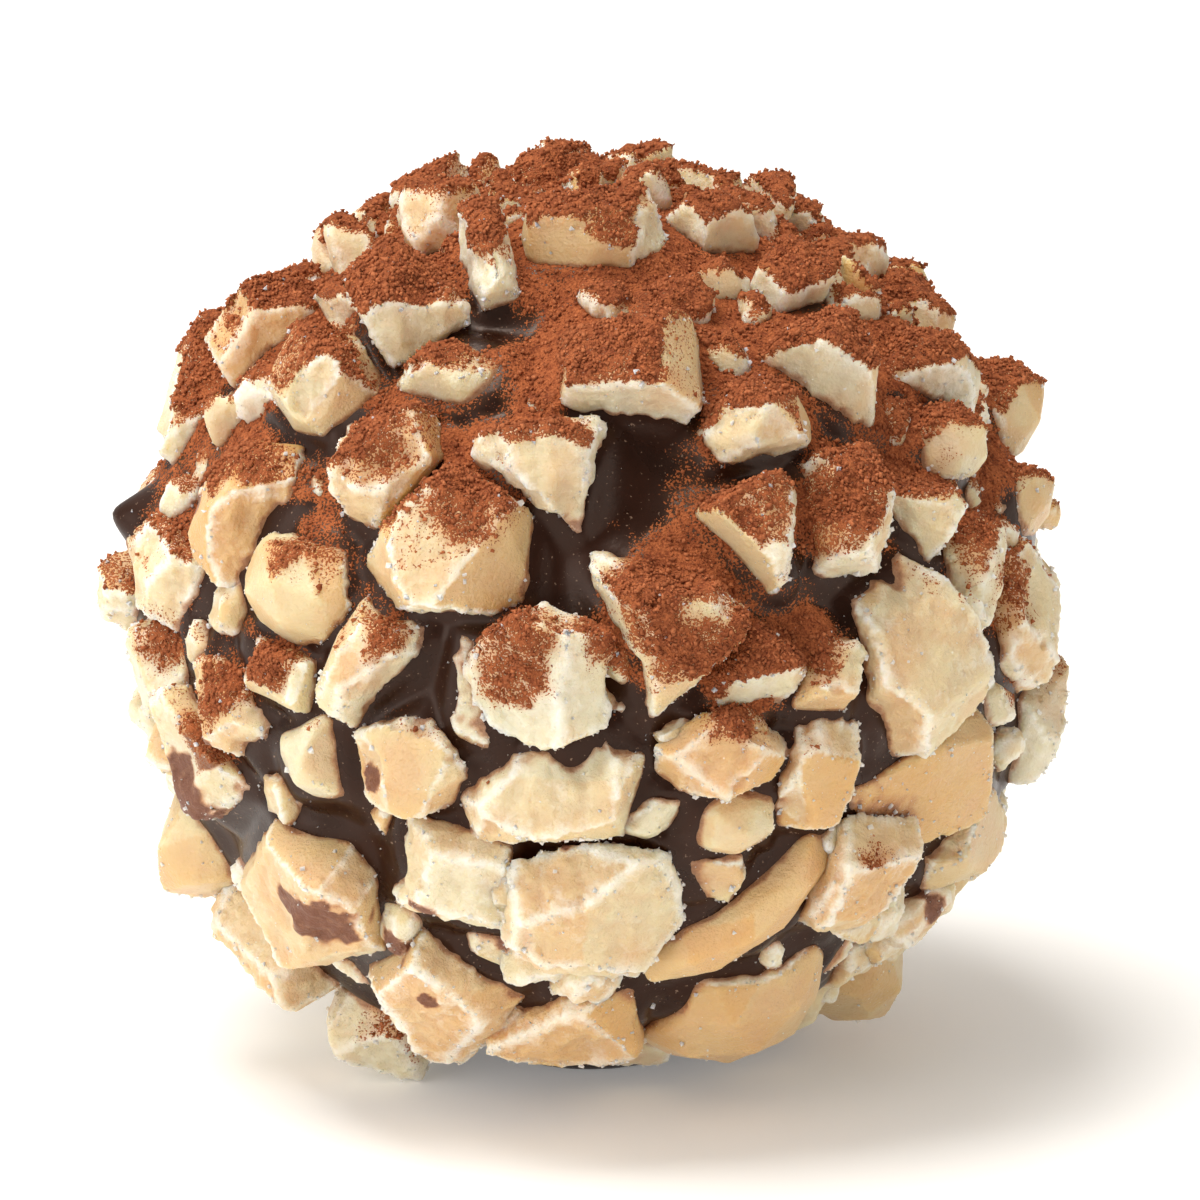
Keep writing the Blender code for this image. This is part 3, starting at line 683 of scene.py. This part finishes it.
flesh = add(tree, "ShaderNodeMix", {0: soak, 6: flesh, 7: linear("B97A4C")},
            data_type="RGBA").outputs[2]
film = add(tree, "ShaderNodeMapRange", {"Value": stain.outputs[0], "From Min": 0.85,
                                        "From Max": 1.25, "To Max": 0.9}).outputs[0]
flesh = add(tree, "ShaderNodeMix", {0: film, 6: flesh, 7: linear("6A3A28")},
            data_type="RGBA").outputs[2]
dull = add(tree, "ShaderNodeMapRange", {"Value": broken, "To Min": 0.34, "To Max": 0.56}).outputs[0]
colour, rough, shows, powder_height = dusted(tree, place, flesh, dull, 0.7)
ridges = add(tree, "ShaderNodeMath", {0: grain, 1: fine}, operation="ADD").outputs[0]
ridges = add(tree, "ShaderNodeMath", {0: patch, 1: 1.5, 2: ridges}, operation="MULTIPLY_ADD").outputs[0]
relief = add(tree, "ShaderNodeMix", {0: shows, 2: ridges, 3: powder_height}).outputs[0]
bump_size = add(tree, "ShaderNodeMapRange", {"Value": shows, "To Min": 0.6, "To Max": 1.0})
bump = add(tree, "ShaderNodeBump", {"Strength": bump_size.outputs[0], "Distance": 0.11 * MM,
                                    "Height": relief}).outputs[0]
covered = add(tree, "ShaderNodeMath", {0: shows, 1: film}, operation="MAXIMUM").outputs[0]
glow = add(tree, "ShaderNodeMapRange", {"Value": covered, "To Min": 0.85, "To Max": 0.0}).outputs[0]
gloss = add(tree, "ShaderNodeMapRange", {"Value": shows, "To Min": 0.5, "To Max": 0.12}).outputs[0]
for socket, source in (("Base Color", colour), ("Roughness", rough), ("Normal", bump),
                       ("Subsurface Weight", glow), ("Specular IOR Level", gloss)):
    tree.links.new(source, surface.inputs[socket])
surface.inputs["IOR"].default_value = 1.46
surface.inputs["Subsurface Radius"].default_value = (1.0, 0.82, 0.58)
surface.inputs["Subsurface Scale"].default_value = 0.9 * MM

# Dark chocolate, tempered and set: nearly black, with a satin gloss and fine cocoa and nut dust.
coat_finish = bpy.data.materials.new("dark_chocolate")
coat_finish.use_nodes = True
tree = coat_finish.node_tree
surface = tree.nodes["Principled BSDF"]
place = add(tree, "ShaderNodeTexCoord").outputs["Object"]
cloud = add(tree, "ShaderNodeTexNoise", {"Vector": place, "Scale": 1 / (1.4 * MM),
                                         "Detail": 4.0}).outputs["Fac"]
fine = add(tree, "ShaderNodeTexNoise", {"Vector": place, "Scale": 1 / (0.12 * MM),
                                        "Detail": 2.0}).outputs["Fac"]
dark = add(tree, "ShaderNodeMix", {0: cloud, 6: linear("160803"), 7: linear("33180D")},
           data_type="RGBA").outputs[2]
flour = add(tree, "ShaderNodeMapRange", {"Value": fine, "From Min": 0.68, "From Max": 0.74,
                                         "To Max": 0.6}).outputs[0]
dark = add(tree, "ShaderNodeMix", {0: flour, 6: dark, 7: linear("A08470")},
           data_type="RGBA").outputs[2]
satin = add(tree, "ShaderNodeMapRange", {"Value": cloud, "From Min": 0.3, "From Max": 0.7,
                                         "To Min": 0.22, "To Max": 0.38}).outputs[0]
colour, rough, shows, powder_height = dusted(tree, place, dark, satin, 0.05)
relief = add(tree, "ShaderNodeMix", {0: shows, 2: fine, 3: powder_height}).outputs[0]
bump_size = add(tree, "ShaderNodeMapRange", {"Value": shows, "To Min": 0.08, "To Max": 1.0})
bump = add(tree, "ShaderNodeBump", {"Strength": bump_size.outputs[0], "Distance": 0.09 * MM,
                                    "Height": relief}).outputs[0]
gloss = add(tree, "ShaderNodeMapRange", {"Value": shows, "To Min": 0.38, "To Max": 0.1}).outputs[0]
for socket, source in (("Base Color", colour), ("Roughness", rough), ("Normal", bump),
                       ("Specular IOR Level", gloss)):
    tree.links.new(source, surface.inputs[socket])
surface.inputs["IOR"].default_value = 1.45
surface.inputs["Specular Tint"].default_value = linear("F0D8CA")

# Cocoa on its own: the same powder where it stands up in loose clumps.
cocoa_finish = bpy.data.materials.new("cocoa_powder")
cocoa_finish.use_nodes = True
tree = cocoa_finish.node_tree
surface = tree.nodes["Principled BSDF"]
place = add(tree, "ShaderNodeTexCoord").outputs["Object"]
tone = add(tree, "ShaderNodeTexNoise", {"Vector": place, "Scale": 1 / (0.3 * MM),
                                        "Detail": 3.0}).outputs["Fac"]
tone = add(tree, "ShaderNodeMapRange", {"Value": tone, "From Min": 0.35, "From Max": 0.65})
powder = add(tree, "ShaderNodeMix", {0: tone.outputs[0], 6: linear("84472C"),
                                     7: linear("B86F48")}, data_type="RGBA").outputs[2]
tree.links.new(powder, surface.inputs["Base Color"])
surface.inputs["Roughness"].default_value = 0.95
surface.inputs["Specular IOR Level"].default_value = 0.1

GRAIN_COUNT = 23500
GRAIN_SIZE = (0.03, 0.085)


def strewn(name, pattern, spots, sizes, draw):
    """Copies a small pattern to each spot, each turned and stretched at random, as one piece."""
    base = np.array([vertex.co[:] for vertex in pattern.data.vertices])
    faces = np.array([face.vertices[:] for face in pattern.data.polygons])
    quats = draw.normal(size=(len(spots), 4))
    quats /= np.linalg.norm(quats, axis=1)[:, None]
    w, x, y, z = quats.T
    turns = np.stack([1 - 2 * (y * y + z * z), 2 * (x * y - z * w), 2 * (x * z + y * w),
                      2 * (x * y + z * w), 1 - 2 * (x * x + z * z), 2 * (y * z - x * w),
                      2 * (x * z - y * w), 2 * (y * z + x * w), 1 - 2 * (x * x + y * y)], 1)
    stretch = draw.uniform(0.6, 1.25, size=(len(spots), 1, 3))
    shapes = np.einsum("nij,nvj->nvi", turns.reshape(-1, 3, 3), base[None] * stretch)
    points = shapes * sizes[:, None, None] + spots[:, None]
    points[:, :, 2] += np.maximum(0, table_level - points[:, :, 2].min(axis=1))[:, None]
    faces = faces[None] + np.arange(len(spots))[:, None, None] * len(base)
    piece = mesh_object(name, points.reshape(-1, 3).tolist(),
                        faces.reshape(-1, faces.shape[2]).tolist())
    bpy.data.objects.remove(pattern)
    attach(piece, "root")
    return piece


draw = np.random.default_rng(5)
all_points, all_facing, all_cocoa, all_worn = [], [], [], []
for piece in nuts + [coat]:
    points, facing = places(piece)
    cocoa = np.empty(len(points), np.float32)
    piece.data.attributes["cocoa"].data.foreach_get("value", cocoa)
    worn = np.zeros(len(points), np.float32)
    if piece != coat:
        piece.data.attributes["worn"].data.foreach_get("value", worn)
    all_worn.append(worn)
    all_points.append(points)
    all_facing.append(facing)
    all_cocoa.append(cocoa)
all_points = np.concatenate(all_points)
all_facing = np.concatenate(all_facing)
all_cocoa = np.concatenate(all_cocoa)
all_worn = np.concatenate(all_worn)
outside = np.linalg.norm(all_points, axis=1) > 13.0

odds = np.where(outside, all_cocoa ** 2, 0)
chosen = draw.choice(len(odds), GRAIN_COUNT, p=odds / odds.sum(), replace=False)
sizes = draw.uniform(*GRAIN_SIZE, size=GRAIN_COUNT)
spots = all_points[chosen] + all_facing[chosen] * (sizes * 0.3)[:, None]
bpy.ops.object.select_all(action="DESELECT")
bpy.ops.mesh.primitive_cylinder_add(vertices=3, radius=1.1, depth=1.7, location=(0, 0, 0))
bpy.ops.object.mode_set(mode="EDIT")
bpy.ops.mesh.select_all(action="SELECT")
bpy.ops.mesh.quads_convert_to_tris()
bpy.ops.object.mode_set(mode="OBJECT")
cocoa_grains = strewn("cocoa_grains", bpy.context.object, spots, sizes, draw)

# ------------------------------------------------------------------- nut crumbs
# The dust and crumbs that come off chopped nuts: white specks from a tenth to half a millimetre,
# stuck to the chocolate and to the nuts, and lying on the cocoa here and there.

CRUMB_COUNT = 22000
CRUMB_SIZE = 0.022
CRUMB_LARGEST = 0.085
EDGE_SHARE = 25.0

odds = np.where(outside, 1.0 - 0.85 * np.clip(all_cocoa * 1.5, 0, 1), 0)
odds *= 1 + EDGE_SHARE * all_worn
chosen = draw.choice(len(odds), CRUMB_COUNT, p=odds / odds.sum(), replace=False)
sizes = np.minimum(CRUMB_SIZE * draw.lognormal(0.0, 0.62, size=CRUMB_COUNT), CRUMB_LARGEST)
spots = all_points[chosen] + all_facing[chosen] * (sizes * 0.4)[:, None]
bpy.ops.object.select_all(action="DESELECT")
bpy.ops.mesh.primitive_cylinder_add(vertices=3, radius=1.1, depth=1.7, location=(0, 0, 0))
bpy.ops.object.mode_set(mode="EDIT")
bpy.ops.mesh.select_all(action="SELECT")
bpy.ops.mesh.quads_convert_to_tris()
bpy.ops.object.mode_set(mode="OBJECT")
nut_crumbs = strewn("nut_crumbs", bpy.context.object, spots, sizes, draw)
mark(nut_crumbs, "broken", np.ones(len(nut_crumbs.data.vertices)))
mark(nut_crumbs, "worn", np.ones(len(nut_crumbs.data.vertices)))

for piece in nuts + [coat, cocoa_grains, nut_crumbs]:
    finish = {coat: coat_finish, cocoa_grains: cocoa_finish}.get(piece, nut_finish)
    piece.data.materials.clear()
    piece.data.materials.append(finish)
    piece.data.transform(into_mm.inverted())
    if piece != nut_crumbs:
        piece.data.shade_smooth()

# ------------------------------------------------------------------- table, light and camera
# A sheet of white card under the truffle, one large soft light high on the left, and a white room.

bpy.ops.object.select_all(action="DESELECT")
bpy.ops.mesh.primitive_circle_add(vertices=96, radius=1.5, fill_type="NGON", location=(0, 0, 0))
floor = bpy.context.object
floor.name = "floor"
card = bpy.data.materials.new("white_card")
card.use_nodes = True
card.node_tree.nodes["Principled BSDF"].inputs["Base Color"].default_value = linear("F4F3F1")
card.node_tree.nodes["Principled BSDF"].inputs["Roughness"].default_value = 0.8
card.node_tree.nodes["Principled BSDF"].inputs["Emission Color"].default_value = (1, 1, 1, 1)
card.node_tree.nodes["Principled BSDF"].inputs["Emission Strength"].default_value = 0.17
floor.data.materials.append(card)


def softbox(name, round_degrees, up_degrees, distance, size, power, colour):
    """A square light that looks at the truffle from a place given in degrees."""
    light = bpy.data.lights.new(name, "AREA")
    light.shape = "SQUARE"
    light.size = size
    light.energy = power
    light.color = colour[:3]
    lamp = bpy.data.objects.new(name, light)
    bpy.context.scene.collection.objects.link(lamp)
    way = toward(round_degrees, up_degrees)
    lamp.location = heart + way * distance
    lamp.rotation_euler = way.to_track_quat("Z", "Y").to_euler()
    lamp.visible_camera = False


softbox("key", -76, 76, 0.35, 0.18, 1.15, linear("FFFDF9"))
softbox("left_side", -50, 14, 0.4, 0.3, 0.58, linear("FFFFFF"))
softbox("right_fill", 62, 2, 0.5, 0.4, 0.85, linear("FFFBF5"))

world = bpy.data.worlds.new("white_room")
bpy.context.scene.world = world
world.use_nodes = True
sky = world.node_tree
way = add(sky, "ShaderNodeSeparateXYZ", {0: add(sky, "ShaderNodeTexCoord").outputs["Generated"]})
left = add(sky, "ShaderNodeMath", {0: way.outputs["X"], 1: -0.95}, operation="MULTIPLY")
bright = add(sky, "ShaderNodeMath", {0: way.outputs["Z"], 1: 0.7, 2: left.outputs[0]},
             operation="MULTIPLY_ADD")
bright = add(sky, "ShaderNodeMapRange", {"Value": bright.outputs[0], "From Min": -0.2,
                                         "From Max": 0.9, "To Min": 0.1, "To Max": 0.85})
sky.links.new(bright.outputs[0], sky.nodes["Background"].inputs["Strength"])
sky.nodes["Background"].inputs["Color"].default_value = linear("FFFAF4")
bpy.context.scene.view_settings.view_transform = "Standard"

VIEW_UP = 15
VIEW_DISTANCE = 0.3
VIEW_WIDTH = 36.585 * MM
SENSOR = 36.0
lens = bpy.data.cameras.new("camera")
lens.sensor_width = SENSOR
lens.lens = SENSOR * VIEW_DISTANCE / VIEW_WIDTH
lens.shift_x = 0.00833
lens.shift_y = 0.01
lens.clip_start = 0.01
camera = bpy.data.objects.new("camera", lens)
bpy.context.scene.collection.objects.link(camera)
camera.location = heart + toward(0, VIEW_UP) * VIEW_DISTANCE
camera.rotation_euler = toward(0, VIEW_UP).to_track_quat("Z", "Y").to_euler()
bpy.context.scene.camera = camera
